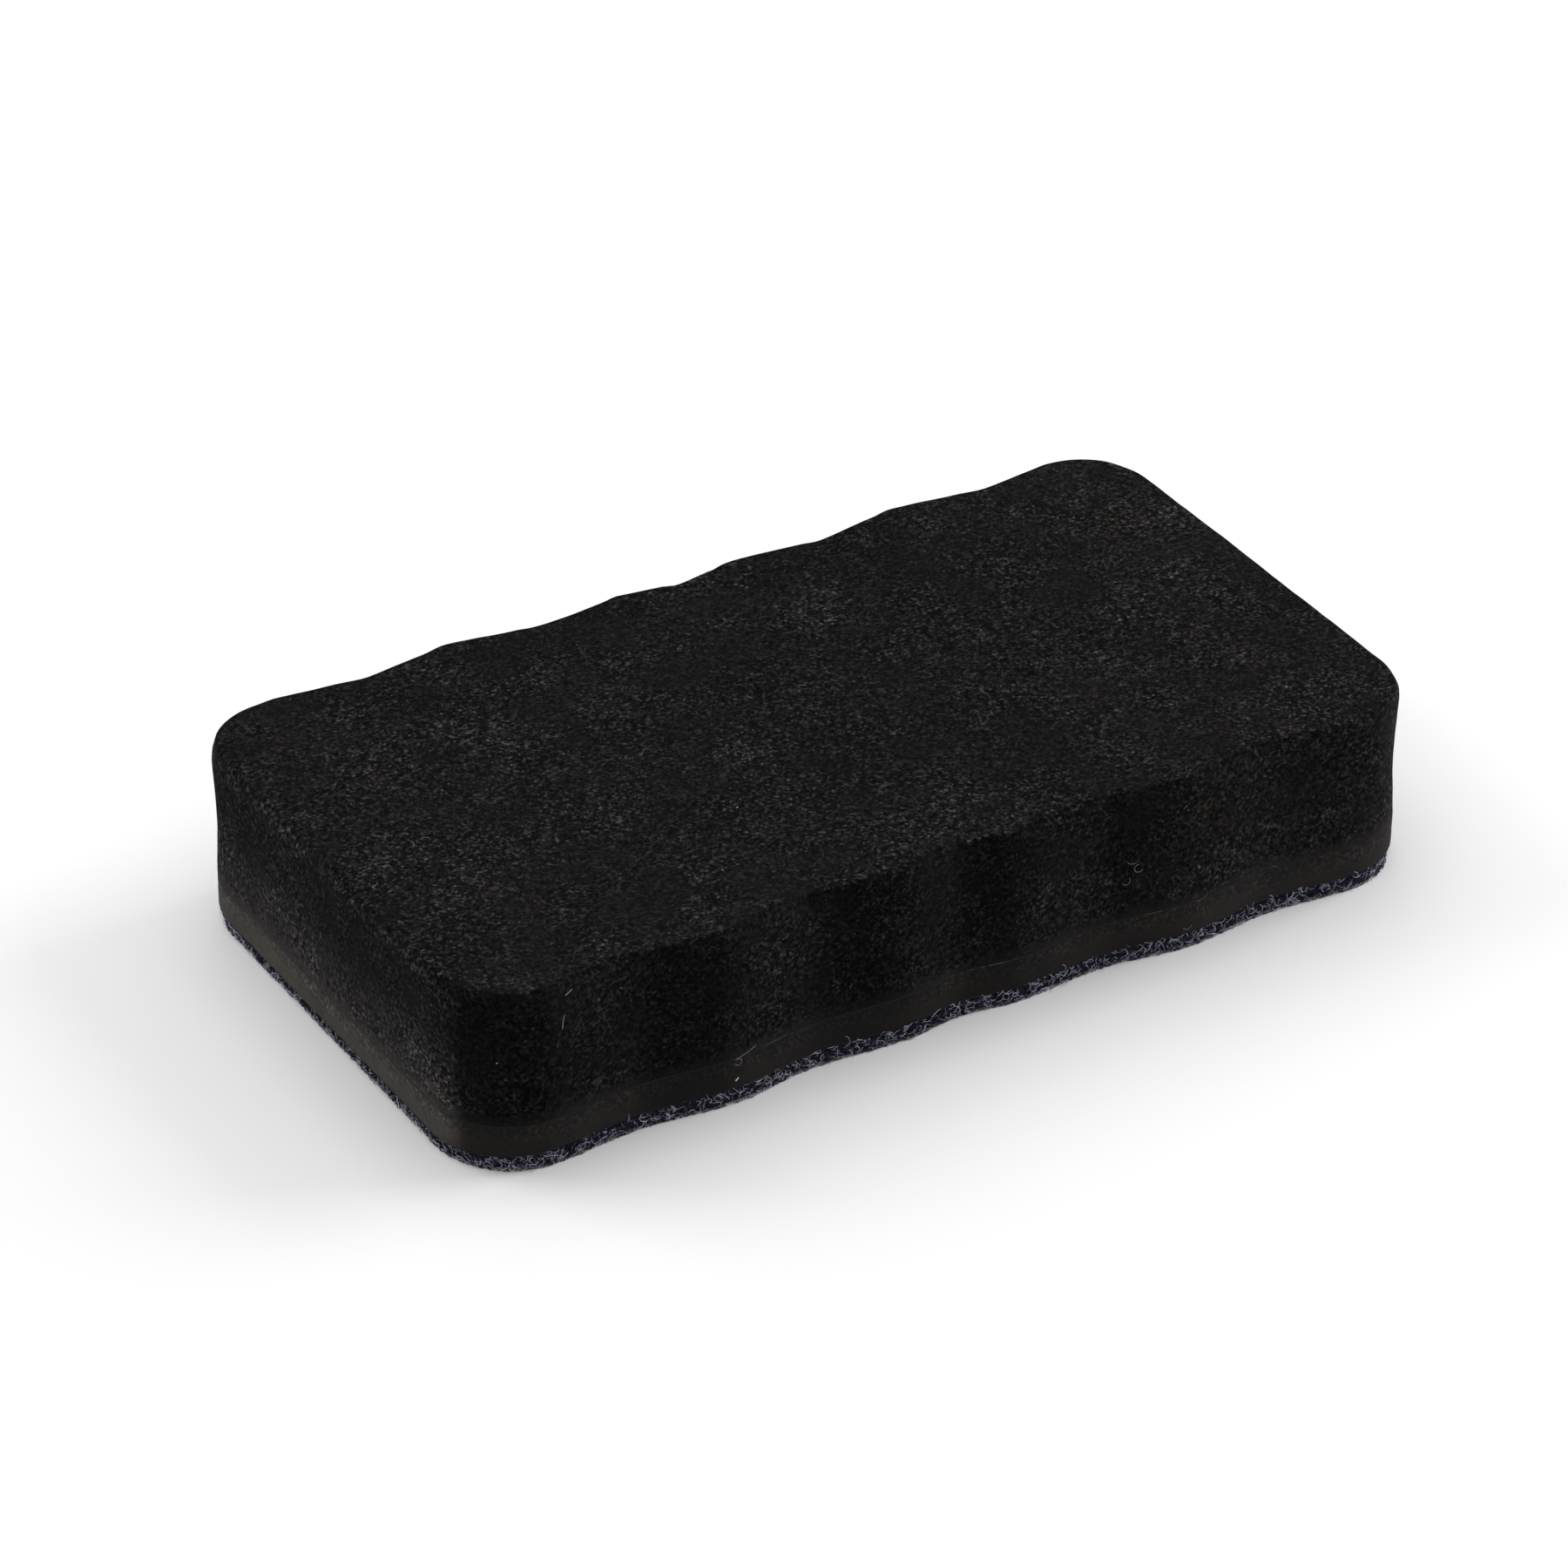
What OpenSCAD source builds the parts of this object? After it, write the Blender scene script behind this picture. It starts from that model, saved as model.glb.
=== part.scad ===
// Chalkboard eraser: a foam grip block, a dense backing sheet and a felt
// wiping pad, glued into one stack and cut through together, so every layer
// has the same wavy outline. It lies on its felt, long side along X.

/* [Outline] */
// Length from one straight end to the other
length = 110; // [90:0.5:160]
// Width over the two widest finger waves
width = 59.4; // [45:0.1:90]
// Radius of the four corners, seen from above
corner_r = 8.5; // [4:0.1:12]

/* [Finger waves] */
// Distance from one wave crest to the next along a long side
crest_pitch = 20; // [12:0.1:26]
// How far each crest stays inside the full width: at the corner, then inwards
crest_inset = [0.2, 0, 0.6]; // [0:0.05:1]
// How far each hollow is cut in: nearest the corner, then inwards
hollow_inset = [0.95, 1.2]; // [0:0.05:3]
// How far the hollow in the middle of the long side is cut in
middle_inset = 1.35; // [0:0.05:3]

/* [Layers] */
// Height of the soft foam block that the fingers hold
foam_h = 15.1; // [8:0.1:30]
// Thickness of the dense sheet that keeps the felt flat
backing_h = 3.3; // [1:0.1:6]
// Thickness of the felt wiping pad
felt_h = 1.8; // [1:0.1:6]
// Thickness of each film of glue between two layers
glue_h = 0.1; // [0.05:0.01:0.3]

/* [Hidden] */

// Points along each half wave, and along each corner
WAVE_STEPS = 8;
CORNER_STEPS = 10;

// Underside of each layer, stacked up from the surface the eraser lies on
felt_glue_z = felt_h;
backing_z = felt_glue_z + glue_h;
foam_glue_z = backing_z + backing_h;
foam_z = foam_glue_z + glue_h;

// The corner crest is where the long side meets the corner's arc. The others
// follow it inwards at crest_pitch, and stop short of the middle hollow.
corner_crest_x = length / 2 - corner_r;
crest_count = max(1, floor(corner_crest_x / crest_pitch + 0.75));

// The k-th value of a list, or its last one where the list has run out
function value(list, k) = list[min(k, len(list) - 1)];

function crest(k) = [corner_crest_x - k * crest_pitch, width / 2 - value(crest_inset, k)];
function hollow(k) = [crest(k).x - crest_pitch / 2, width / 2 - value(hollow_inset, k)];

// Crests and hollows of a quarter of the outline, from the middle to a corner
middle_hollow = [0, width / 2 - middle_inset];
turning_points = [
    middle_hollow,
    for (k = [crest_count - 1 : -1 : 1]) each [crest(k), hollow(k - 1)],
    crest(0)
];

// Smooth half wave from a to b, level at both of them, without b itself
function half_wave(a, b) = [
    for (i = [0 : WAVE_STEPS - 1])
        let (t = i / WAVE_STEPS, rise = (1 - cos(180 * t)) / 2)
        [a.x + (b.x - a.x) * t, a.y + (b.y - a.y) * rise]
];

// Quarter turn from the corner crest to the straight end
function corner_arc() = [
    for (i = [0 : CORNER_STEPS])
        let (turn = 90 * i / CORNER_STEPS, centre = crest(0) - [0, corner_r])
        centre + corner_r * [sin(turn), cos(turn)]
];

quarter = concat(
    [for (i = [0 : len(turning_points) - 2]) each half_wave(turning_points[i], turning_points[i + 1])],
    corner_arc()
);

// A list without its first point, and a list in reverse order
function rest(list) = [for (i = [1 : len(list) - 1]) list[i]];
function reversed(list) = [for (i = [len(list) - 1 : -1 : 0]) list[i]];

// The mirrored quarters share their middle hollow, which is drawn once a side
right_half = concat(quarter, [for (p = reversed(quarter)) [p.x, -p.y]]);
left_half = [for (p = reversed(rest(quarter))) [-p.x, p.y]];
outline = concat(right_half, [for (p = reversed(left_half)) [p.x, -p.y]], left_half);

// One layer of the stack, cut to the shared outline
module layer(z, h) {
    translate([0, 0, z])
        linear_extrude(h)
            polygon(outline);
}

module felt_pad() {
    color("slategray") layer(0, felt_h);
}

module felt_glue() {
    color("gainsboro") layer(felt_glue_z, glue_h);
}

module backing_sheet() {
    color([0.13, 0.125, 0.12]) layer(backing_z, backing_h);
}

module foam_glue() {
    color("gainsboro") layer(foam_glue_z, glue_h);
}

module foam_block() {
    color([0.11, 0.11, 0.11]) layer(foam_z, foam_h);
}

felt_pad();
felt_glue();
backing_sheet();
foam_glue();
foam_block();
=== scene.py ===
"""Chalkboard eraser: the looks of its foam grip, backing, glue and felt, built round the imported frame."""

import bisect
import random
from math import ceil, copysign, cos, hypot, pi, radians, sin, sqrt

import bmesh
import bpy
import numpy as np
from bpy.props import FloatProperty, FloatVectorProperty, IntProperty, PointerProperty
from bpy.types import Operator, Panel, PropertyGroup
from mathutils import Matrix, Vector, noise


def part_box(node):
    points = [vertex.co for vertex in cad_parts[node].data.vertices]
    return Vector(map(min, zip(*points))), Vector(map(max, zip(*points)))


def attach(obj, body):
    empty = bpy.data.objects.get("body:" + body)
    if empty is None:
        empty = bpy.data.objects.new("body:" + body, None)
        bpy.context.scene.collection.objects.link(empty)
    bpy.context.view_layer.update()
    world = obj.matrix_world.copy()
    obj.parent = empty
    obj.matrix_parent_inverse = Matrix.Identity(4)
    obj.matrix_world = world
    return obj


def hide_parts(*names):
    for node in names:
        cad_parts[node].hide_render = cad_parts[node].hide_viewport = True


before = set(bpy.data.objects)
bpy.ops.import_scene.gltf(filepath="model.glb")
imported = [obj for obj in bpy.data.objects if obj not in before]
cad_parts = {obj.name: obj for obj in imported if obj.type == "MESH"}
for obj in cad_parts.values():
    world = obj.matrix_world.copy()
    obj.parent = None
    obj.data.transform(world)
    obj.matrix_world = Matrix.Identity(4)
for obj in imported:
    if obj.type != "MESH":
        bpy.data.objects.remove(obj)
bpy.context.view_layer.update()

bl_info = {
    "name": "Chalkboard Eraser",
    "version": (1, 0, 0),
    "blender": (4, 5, 0),
    "location": "3D View > Sidebar > Eraser",
    "description": "Builds a foam and felt chalkboard eraser",
    "category": "Add Mesh",
}

MM = 0.001
BODY = "root"

# Grid of each layer's faces, and of the rounding up its wall.
GRID_ALONG = 192
GRID_ACROSS = 96
ROUNDING_STEPS = 4
RIM_STEPS = 240
SHARP_ANGLE = radians(50)
WELD_DISTANCE = 0.0002 * MM

# The sine of the angle by which the flanks of the waves turn from the side's straight line.
FLANK_SLOPE = 0.085

# Fibre pieces on the wall and on the wiping face, and the points along one strand.
FIBRE_PIECES = 4
FIBRE_POINTS = 6
STRAY_POINTS = 8
LINT_POINTS = 12

# What clings to the layers, and what squeezes out of the glue.
FOAM_DUST = (0.11, 0.105, 0.10)
BACKING_DUST = (0.09, 0.085, 0.08)
# Painted glint: the colour of bright specks that stand in for highlights on cell walls.
PAINTED_GLINT_COLOUR = (0.085, 0.085, 0.08)
GLUE_BEADS = (0.10, 0.095, 0.09)
COOL_TINT, WARM_TINT = (0.96, 0.97, 1.06), (1.03, 1.02, 0.93)
BACKING_TINTS = (1.0, 0.98, 0.99), (1.08, 1.0, 0.86)


# Sizes and colours.


def node_top(node):
    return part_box(node)[1].z


def node_bottom(node):
    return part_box(node)[0].z


def length(name, description, millimetres, least=0.0):
    """A length in metres, given by its value in millimetres."""
    return FloatProperty(
        name=name, description=description, default=millimetres * MM, min=least * MM,
        unit="LENGTH", subtype="DISTANCE", precision=5,
    )


def angle(name, description, degrees):
    return FloatProperty(
        name=name, description=description, default=radians(degrees), unit="ROTATION", subtype="ANGLE"
    )


def share(name, description, default):
    return FloatProperty(name=name, description=description, default=default, min=0.0, max=4.0)


def count(name, description, default):
    return IntProperty(name=name, description=description, default=default, min=0)


def colour(name, description, default):
    return FloatVectorProperty(
        name=name, description=description, default=default, size=3, min=0.0, max=1.0, subtype="COLOR"
    )


class EraserOutline(PropertyGroup):
    """The wavy outline that every layer is cut to."""

    corner_r: length("Corner Radius", "Radius of the corners in plan", 8.5)
    crest_pitch: length("Crest Pitch", "From one finger wave to the next", 20.0)
    insets: FloatVectorProperty(
        name="Wave Insets",
        description="Insets of crests and hollows, from the corner to the middle",
        default=[inset * MM for inset in (0.2, 0.95, 0.0, 1.2, 0.6, 1.35)],
        size=6,
    )


class EraserFoam(PropertyGroup):
    """The foam grip and the backing under it."""

    edge_round: length("Edge Rounding", "Rounding of the foam's top edge", 0.28)
    edge_soften: length("Edge Softening", "More rounding on crests and ends", 0.55)
    seam_round: length("Seam Rounding", "Rounding of each layer at the glue", 0.03)
    waist: length("Waist", "How far the foam draws in half way up", 0.25)
    waver: length("Waver", "How far the cut walls waver", 0.10)
    cell: length("Cell Size", "Size of the foam's cells", 0.30, 0.05)
    grain: share("Grain", "How much the tone of cells differs", 1.0)
    colour: colour("Foam Colour", "Colour of the foam", (0.0102, 0.0094, 0.0096))
    # Painted light: how much paler the foot of each end is painted.
    end_tone: share("End Tone", "How much paler the foot of each end is", 2.9)
    backing_colour: colour("Backing Colour", "Colour of the backing", (0.0190, 0.0172, 0.0170))
    # Painted light: how much paler the backing's ends are painted.
    backing_end_tone: share("Backing End Tone", "How much paler the backing is at the ends", 2.7)
    glue_colour: colour("Glue Colour", "Colour of the glue films", (0.016, 0.015, 0.015))


class EraserFelt(PropertyGroup):
    """The felt pad: its mat and the fibres on it."""

    mat_inset: length("Mat Inset", "How far the mat lies inside its fibres", 0.22)
    mat_lift: length("Mat Lift", "How far the mat lies above the fibres", 0.16)
    end_inset: length("End Inset", "How far the felt stops short at the ends", 0.35)
    lumps: length("Lumps", "Height of the mat's lumps", 0.08)
    fibre_d: length("Fibre Diameter", "Usual diameter of a strand", 0.072, 0.01)
    edge_count: count("Edge Fibres", "Strands on the pad's wall", 11000)
    face_count: count("Face Fibres", "Strands on the wiping face", 14000)
    stray_count: count("Stray Fibres", "Hairs that stand off the wall", 260)
    seed: count("Seed", "Seed of the fibres' places", 11)
    light: colour("Light Fibres", "Colour of the palest fibres", (0.66, 0.66, 0.84))
    dark: colour("Dark Fibres", "Colour of the darkest fibres", (0.008, 0.008, 0.018))


class EraserStage(PropertyGroup):
    """The camera, floor and lamps."""

    azimuth: angle("Azimuth", "Turn of the camera round the eraser", -31.31)
    elevation: angle("Elevation", "Height of the camera as an angle", 32.59)
    roll: angle("Roll", "Roll of the camera", 0.24)
    distance: length("Distance", "From the eraser's base to the camera", 702.9)
    pan_right: length("Pan Right", "Shift of the camera to its right", -2.55, -50.0)
    pan_up: length("Pan Up", "Shift of the camera upwards", 9.80, -50.0)
    lens: FloatProperty(name="Lens", description="Focal length", default=159.62, min=10.0, unit="CAMERA")
    top: share("Top Lamp", "Level of the lamp overhead", 0.23)
    right: share("Right Lamp", "Level of the lamp on the right", 0.25)
    left: share("Left Lamp", "Level of the lamp at the back left", 0.16)
    sky: share("Sky", "Level of the light from all round", 0.52)


class EraserSettings(PropertyGroup):
    """The eraser's settings."""

    outline: PointerProperty(type=EraserOutline)
    foam: PointerProperty(type=EraserFoam)
    felt: PointerProperty(type=EraserFelt)
    stage: PointerProperty(type=EraserStage)


# The outline in plan.


class Outline:
    """The outline that the layers share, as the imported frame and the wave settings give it."""

    def __init__(self, settings):
        low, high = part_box("foam_block")
        self.half_length = (high.x - low.x) / 2
        self.half_width = (high.y - low.y) / 2
        self.corner_r = settings.corner_r
        self.corner_x = self.half_length - self.corner_r
        # Crests and hollows as (x, inset), from the middle of the side to the corner.
        self.turns = [
            (max(self.corner_x - i * settings.crest_pitch / 2, 0.0), inset)
            for i, inset in enumerate(settings.insets)
        ][::-1]
        self.corner_y = self.half_width - settings.insets[0] - self.corner_r
        arc = self.corner_r * pi / 2
        self.straight_share = self.corner_x / (self.corner_x + arc)

    def reach(self, x):
        """Half the width at x, between the corners' arcs."""
        for (x0, inset0), (x1, inset1) in zip(self.turns, self.turns[1:]):
            if x <= x1:
                rise = (1 - cos(pi * (x - x0) / (x1 - x0))) / 2
                return self.half_width - inset0 - (inset1 - inset0) * rise
        return self.half_width - self.turns[-1][1]

    def place(self, u, v, inset=0.0):
        """The plan point at u along and v across, each from -1 to 1, with the rim drawn in by inset."""
        along = min(abs(u), 1.0)
        if along <= self.straight_share:
            x = self.corner_x * along / self.straight_share
            reach = self.reach(x) - inset
        else:
            turn = (along - self.straight_share) / (1 - self.straight_share) * pi / 2
            r = self.corner_r - inset
            x = self.corner_x + r * sin(turn)
            reach = self.corner_y + r * cos(turn)
        return Vector((copysign(x, u), v * reach))

    def holds(self, x, y, inset):
        """Whether a point lies inside the rim drawn in by inset."""
        x, y = abs(x), abs(y)
        if x <= self.corner_x:
            return y <= self.reach(x) - inset
        return hypot(x - self.corner_x, max(y - self.corner_y, 0.0)) <= self.corner_r - inset

    def rim(self):
        """Plan points once round the rim, anticlockwise from the middle of the right end."""
        steps = RIM_STEPS
        end = steps // 6
        points = [self.place(1, v / end) for v in range(0, end)]
        points += [self.place(1 - 2 * i / steps, 1) for i in range(steps)]
        points += [self.place(-1, 1 - v / end) for v in range(2 * end)]
        points += [self.place(-1 + 2 * i / steps, -1) for i in range(steps)]
        points += [self.place(1, -1 + v / end) for v in range(end)]
        return points


class Rim:
    """Walks round the rim by distance, for what lies along a layer's wall."""

    def __init__(self, outline):
        self.points = outline.rim()
        self.starts = [0.0]
        for a, b in zip(self.points, self.points[1:] + self.points[:1]):
            self.starts.append(self.starts[-1] + (b - a).length)
        self.length = self.starts[-1]

    def at(self, distance, out=0.0):
        """The point at a distance round the rim, moved outwards by out."""
        distance %= self.length
        k = max(bisect.bisect_left(self.starts, distance) - 1, 0)
        a, b = self.points[k], self.points[(k + 1) % len(self.points)]
        span = self.starts[k + 1] - self.starts[k]
        along = (b - a).normalized()
        return a.lerp(b, (distance - self.starts[k]) / span) + Vector((along.y, -along.x)) * out

    def nearest(self, x, y):
        """The distance round the rim at which it passes closest to x, y."""
        spot = Vector((x, y))
        k = min(range(len(self.points)), key=lambda i: (self.points[i] - spot).length)
        return self.starts[k]


# Shader node groups and materials.


class Nodes:
    """Short calls for making and joining the nodes of one tree."""

    def __init__(self, tree):
        self.tree = tree

    def add(self, kind, inputs=None, **values):
        """A new node, with its properties set and its inputs fed."""
        node = self.tree.nodes.new(kind)
        for name, value in values.items():
            setattr(node, name, value)
        for name, source in (inputs or {}).items():
            self.feed(node.inputs[name], source)
        return node

    def join(self, source, target):
        self.tree.links.new(source, target)

    def feed(self, target, source):
        """Joins a socket to an input, or sets the input to a plain value."""
        if isinstance(source, bpy.types.NodeSocket):
            self.join(source, target)
        else:
            target.default_value = source

    def math(self, operation, a, b=0.5, clamp=False):
        return self.add("ShaderNodeMath", {0: a, 1: b}, operation=operation, use_clamp=clamp).outputs[0]

    def times(self, product, *factors):
        """The product of sockets and plain values."""
        for factor in factors:
            product = self.math("MULTIPLY", product, factor)
        return product

    def noise(self, vector, scale, detail=2.0, roughness=0.5, distortion=0.0):
        inputs = {"Vector": vector, "Scale": scale, "Detail": detail}
        inputs.update(Roughness=roughness, Distortion=distortion)
        return self.add("ShaderNodeTexNoise", inputs).outputs["Fac"]

    def cells(self, vector, scale, output="Distance"):
        return self.add("ShaderNodeTexVoronoi", {"Vector": vector, "Scale": scale}).outputs[output]

    def cell_number(self, vector, scale):
        """A number from 0 to 1 for each cell."""
        return self.add("ShaderNodeSeparateColor", {0: self.cells(vector, scale, "Color")}).outputs[0]

    def height(self, vector):
        return self.add("ShaderNodeSeparateXYZ", {0: vector}).outputs["Z"]

    def stretch(self, vector, scale, degrees=(0, 0, 0)):
        """The vector turned and scaled, for streaks."""
        turn = tuple(radians(angle) for angle in degrees)
        inputs = {"Vector": vector, "Rotation": turn, "Scale": scale}
        return self.add("ShaderNodeMapping", inputs).outputs[0]

    def warp(self, vector, scale, reach):
        """The vector moved by noise, up to about reach in metres."""
        wander = self.add("ShaderNodeTexNoise", {"Vector": vector, "Scale": scale}).outputs["Color"]
        inputs = {0: wander, 1: (reach, reach, reach), 2: vector}
        return self.add("ShaderNodeVectorMath", inputs, operation="MULTIPLY_ADD").outputs[0]

    def spread(self, value, low, high, to_low=0.0, to_high=1.0):
        """Maps low..high to to_low..to_high, and holds what lies outside."""
        inputs = {"Value": value, "From Min": low, "From Max": high, "To Min": to_low, "To Max": to_high}
        return self.add("ShaderNodeMapRange", inputs, clamp=True).outputs["Result"]

    def mix(self, factor, a, b, blend="MIX"):
        a, b = (c if isinstance(c, bpy.types.NodeSocket) else (*c, 1) for c in (a, b))
        inputs = {"Factor": factor, "A": a, "B": b}
        return self.add("ShaderNodeMix", inputs, data_type="RGBA", blend_type=blend).outputs["Result"]

    def group(self, group, **inputs):
        node = self.add("ShaderNodeGroup", node_tree=group)
        for name, value in inputs.items():
            self.feed(node.inputs[name.replace("_", " ")], value)
        return node.outputs


def new_group(name, inputs, outputs):
    """An empty shader group. inputs and outputs are (name, socket kind, default)."""
    group = bpy.data.node_groups.new(name, "ShaderNodeTree")
    for in_out, sockets in (("INPUT", inputs), ("OUTPUT", outputs)):
        for label, kind, default in sockets:
            socket = group.interface.new_socket(label, in_out=in_out, socket_type="NodeSocket" + kind)
            if default is not None:
                socket.default_value = default
    nodes = Nodes(group)
    return group, nodes, nodes.add("NodeGroupInput").outputs, nodes.add("NodeGroupOutput").inputs


def foam_cells_group():
    """Fine cells of cut foam: a tone for each, from dark pits to pale walls, and rare painted glints, bright
    spots that stand in for highlights.
    """
    group, n, given, out = new_group(
        "Foam Cells",
        [("Vector", "Vector", None), ("Cells per Metre", "Float", 3600.0), ("Contrast", "Float", 1.0)],
        [("Tone", "Float", None), ("Height", "Float", None), ("Painted Glint", "Float", None)],
    )
    vector, scale = given["Vector"], given["Cells per Metre"]
    warped = n.warp(vector, n.times(scale, 0.7), 0.30 * MM)
    own = n.math("SUBTRACT", n.cell_number(warped, scale), 0.5)
    pits = n.math("SUBTRACT", n.noise(vector, n.times(scale, 0.8), 3.0, 0.7), 0.5)
    grain = n.math("ADD", n.times(own, 2.5), n.times(pits, 8.5))
    patch = n.spread(n.noise(vector, 170.0, detail=3.0), 0.36, 0.60, 0.50, 1.10)
    power = n.times(grain, patch, given["Contrast"])
    n.join(n.times(n.math("EXPONENT", power), 0.70), out["Tone"])
    n.join(grain, out["Height"])
    # Painted glints: rare bright spots that stand in for highlights on cell walls.
    rare_scale = n.times(scale, 0.40)
    rare = n.math("GREATER_THAN", n.cell_number(vector, rare_scale), 0.975)
    spot = n.spread(n.cells(vector, rare_scale), 0.10, 0.24, 1.0, 0.0)
    n.join(n.times(rare, spot), out["Painted Glint"])
    return group


def dust_group():
    """Chalky dust: patchy over the surface, and more of it low down."""
    group, n, given, out = new_group(
        "Dust",
        [
            ("Vector", "Vector", None),
            ("Low", "Float", 0.0),
            ("High", "Float", 0.02),
            ("Amount", "Float", 0.5),
        ],
        [("Mask", "Float", None)],
    )
    low = n.spread(n.height(given["Vector"]), given["Low"], given["High"], 1.0, 0.0)
    patch = n.spread(n.noise(given["Vector"], 130.0, detail=5.0, roughness=0.6), 0.38, 0.72)
    fine = n.spread(n.noise(given["Vector"], 1900.0, detail=2.0), 0.35, 0.75, 0.3, 1.0)
    n.join(n.math("MULTIPLY", n.times(patch, fine, given["Amount"]), low, clamp=True), out["Mask"])
    return group


GROUPS = {}


def shared_group(maker):
    """A node group that materials share, made once."""
    if maker not in GROUPS:
        GROUPS[maker] = maker()
    return GROUPS[maker]


def plain_material(name, roughness, specular):
    """A material, the calls for its nodes, and its Principled shader."""
    material = bpy.data.materials.new(name)
    material.use_nodes = True
    n = Nodes(material.node_tree)
    shader = material.node_tree.nodes["Principled BSDF"]
    shader.inputs["Roughness"].default_value = roughness
    shader.inputs["Specular IOR Level"].default_value = specular
    return material, n, shader


def new_material(name, roughness, specular):
    """A plain material with the object coordinates that its pattern needs."""
    material, n, shader = plain_material(name, roughness, specular)
    return material, n, shader, n.add("ShaderNodeTexCoord").outputs["Object"]


def add_bump(n, shader, height, distance, strength=1.0):
    bump = n.add("ShaderNodeBump", {"Strength": strength, "Distance": distance, "Height": height})
    n.join(bump.outputs["Normal"], shader.inputs["Normal"])


def seam_mask(n, place, level, depth):
    """0 below a level and 1 above it, with a soft and ragged line between them, depth high."""
    return n.spread(n.height(n.warp(place, 420.0, depth)), level - depth * 0.1, level + depth * 1.1)


def paint(n, shader, colour, roughness):
    n.join(colour, shader.inputs["Base Color"])
    n.join(roughness, shader.inputs["Roughness"])


def painted_light_tone(n):
    """The painted light and shade that each vertex of a foam layer carries, as a tone."""
    return n.add("ShaderNodeAttribute", attribute_name="Tone").outputs["Fac"]


def cell_tones(n, place, settings, contrast):
    """The foam's cells at the size that the settings give."""
    per_metre = 1 / settings.cell
    return n.group(shared_group(foam_cells_group), Vector=place, Cells_per_Metre=per_metre, Contrast=contrast)


def dust_mask(n, place, node, amount):
    """How much dust lies on a layer, from the foot of its wall to its top."""
    low, high = node_bottom(node), node_top(node)
    return n.group(shared_group(dust_group), Vector=place, Low=low, High=high, Amount=amount)["Mask"]


def tinted(n, colour, tint, tone):
    """A plain colour times a tint and a tone."""
    return n.mix(1.0, n.mix(1.0, colour, tint, "MULTIPLY"), tone, "MULTIPLY")


def foam_material(settings):
    """Soft black foam, cut: grainy, dry, dull, with a few painted glints, some dust, and the painted light
    and shade that its vertices carry.
    """
    material, n, shader, place = new_material("Cut Foam", 0.9, 0.05)
    seam = seam_mask(n, place, node_bottom("foam_block") + 0.5 * MM, 1.6 * MM)
    cut = n.add("ShaderNodeAttribute", attribute_name="Cut").outputs["Fac"]
    on_top = n.spread(cut, 0.0, 1.0, 1.0, 0.80)
    contrast = n.times(n.spread(seam, 0.0, 1.0, 0.40, 1.0), on_top, settings.grain)
    cells = cell_tones(n, place, settings, contrast)
    cloud = n.spread(n.noise(place, 70.0, detail=4.0), 0.3, 0.7, 0.84, 1.18)
    # Painted light and shade: each vertex carries a tone that makes the walls, ends and top paler or darker.
    painted_tone = painted_light_tone(n)
    tone = n.times(cells["Tone"], cloud, painted_tone)
    tint = n.mix(n.spread(n.noise(place, 420.0, detail=3.0), 0.35, 0.65), COOL_TINT, WARM_TINT)
    # The foam's foot is smeared smooth in a ragged line, and looks like the sheet under it.
    smooth = n.mix(1.0, settings.backing_colour, n.times(painted_tone, 0.62), "MULTIPLY")
    base = n.mix(seam, smooth, tinted(n, settings.colour, tint, tone))
    dusted = n.mix(dust_mask(n, place, "foam_block", 0.03), base, FOAM_DUST)
    # Painted glint: rare bright specks, mixed into the colour, that stand in for highlights.
    painted_glint = n.mix(n.times(cells["Painted Glint"], 0.6), dusted, PAINTED_GLINT_COLOUR)
    paint(n, shader, painted_glint, n.spread(cells["Tone"], 0.2, 2.0, 0.96, 0.82))
    add_bump(n, shader, cells["Height"], 0.05 * MM, 0.7)
    return material


def backing_material(settings):
    """Dense smooth foam sheet: warm black, a little waxy, with fine drag lines along the cut."""
    material, n, shader, place = new_material("Dense Backing", 0.62, 0.16)
    cloud = n.noise(place, 230.0, detail=5.0, roughness=0.62)
    fine = n.noise(place, 3000.0, detail=3.0, roughness=0.6)
    drag = n.noise(n.stretch(place, (0.05, 0.05, 1.0)), 2600.0, detail=3.0)
    tone = n.times(n.spread(cloud, 0.3, 0.7, 0.74, 1.26), n.spread(fine, 0.3, 0.7, 0.80, 1.20))
    # Painted light and shade: each vertex carries a tone that makes the ends, the foot and one flank of each
    # wave paler or darker.
    tone = n.times(tone, n.spread(drag, 0.3, 0.7, 0.92, 1.08), painted_light_tone(n))
    # Foam grains stick to the sheet near its upper edge.
    stuck = seam_mask(n, place, node_top("backing_sheet") - 1.5 * MM, 1.4 * MM)
    grains = cell_tones(n, place, settings, stuck)
    tone = n.times(tone, n.spread(grains["Tone"], 0.3, 2.4, 0.5, 1.9))
    tint = n.mix(n.spread(cloud, 0.35, 0.65), *BACKING_TINTS)
    base = tinted(n, settings.backing_colour, tint, tone)
    dusted = n.mix(dust_mask(n, place, "backing_sheet", 0.04), base, BACKING_DUST)
    paint(n, shader, dusted, n.spread(cloud, 0.3, 0.7, 0.58, 0.70))
    add_bump(n, shader, n.math("ADD", n.times(drag, 0.7), n.times(fine, 0.3)), 0.03 * MM, 0.4)
    return material


def glue_material(settings):
    """Dried glue film: as dark as the foam, with paler, shinier beads where it squeezed out."""
    material, n, shader, place = new_material("Glue Film", 0.6, 0.2)
    long_way = n.noise(place, 110.0, detail=3.0)
    beads = n.noise(place, 1400.0, detail=2.0)
    pale = n.times(n.spread(long_way, 0.56, 0.66), n.spread(beads, 0.45, 0.65))
    colour = n.mix(pale, settings.glue_colour, GLUE_BEADS)
    paint(n, shader, colour, n.spread(beads, 0.3, 0.7, 0.45, 0.65))
    add_bump(n, shader, beads, 0.05 * MM)
    return material


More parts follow.
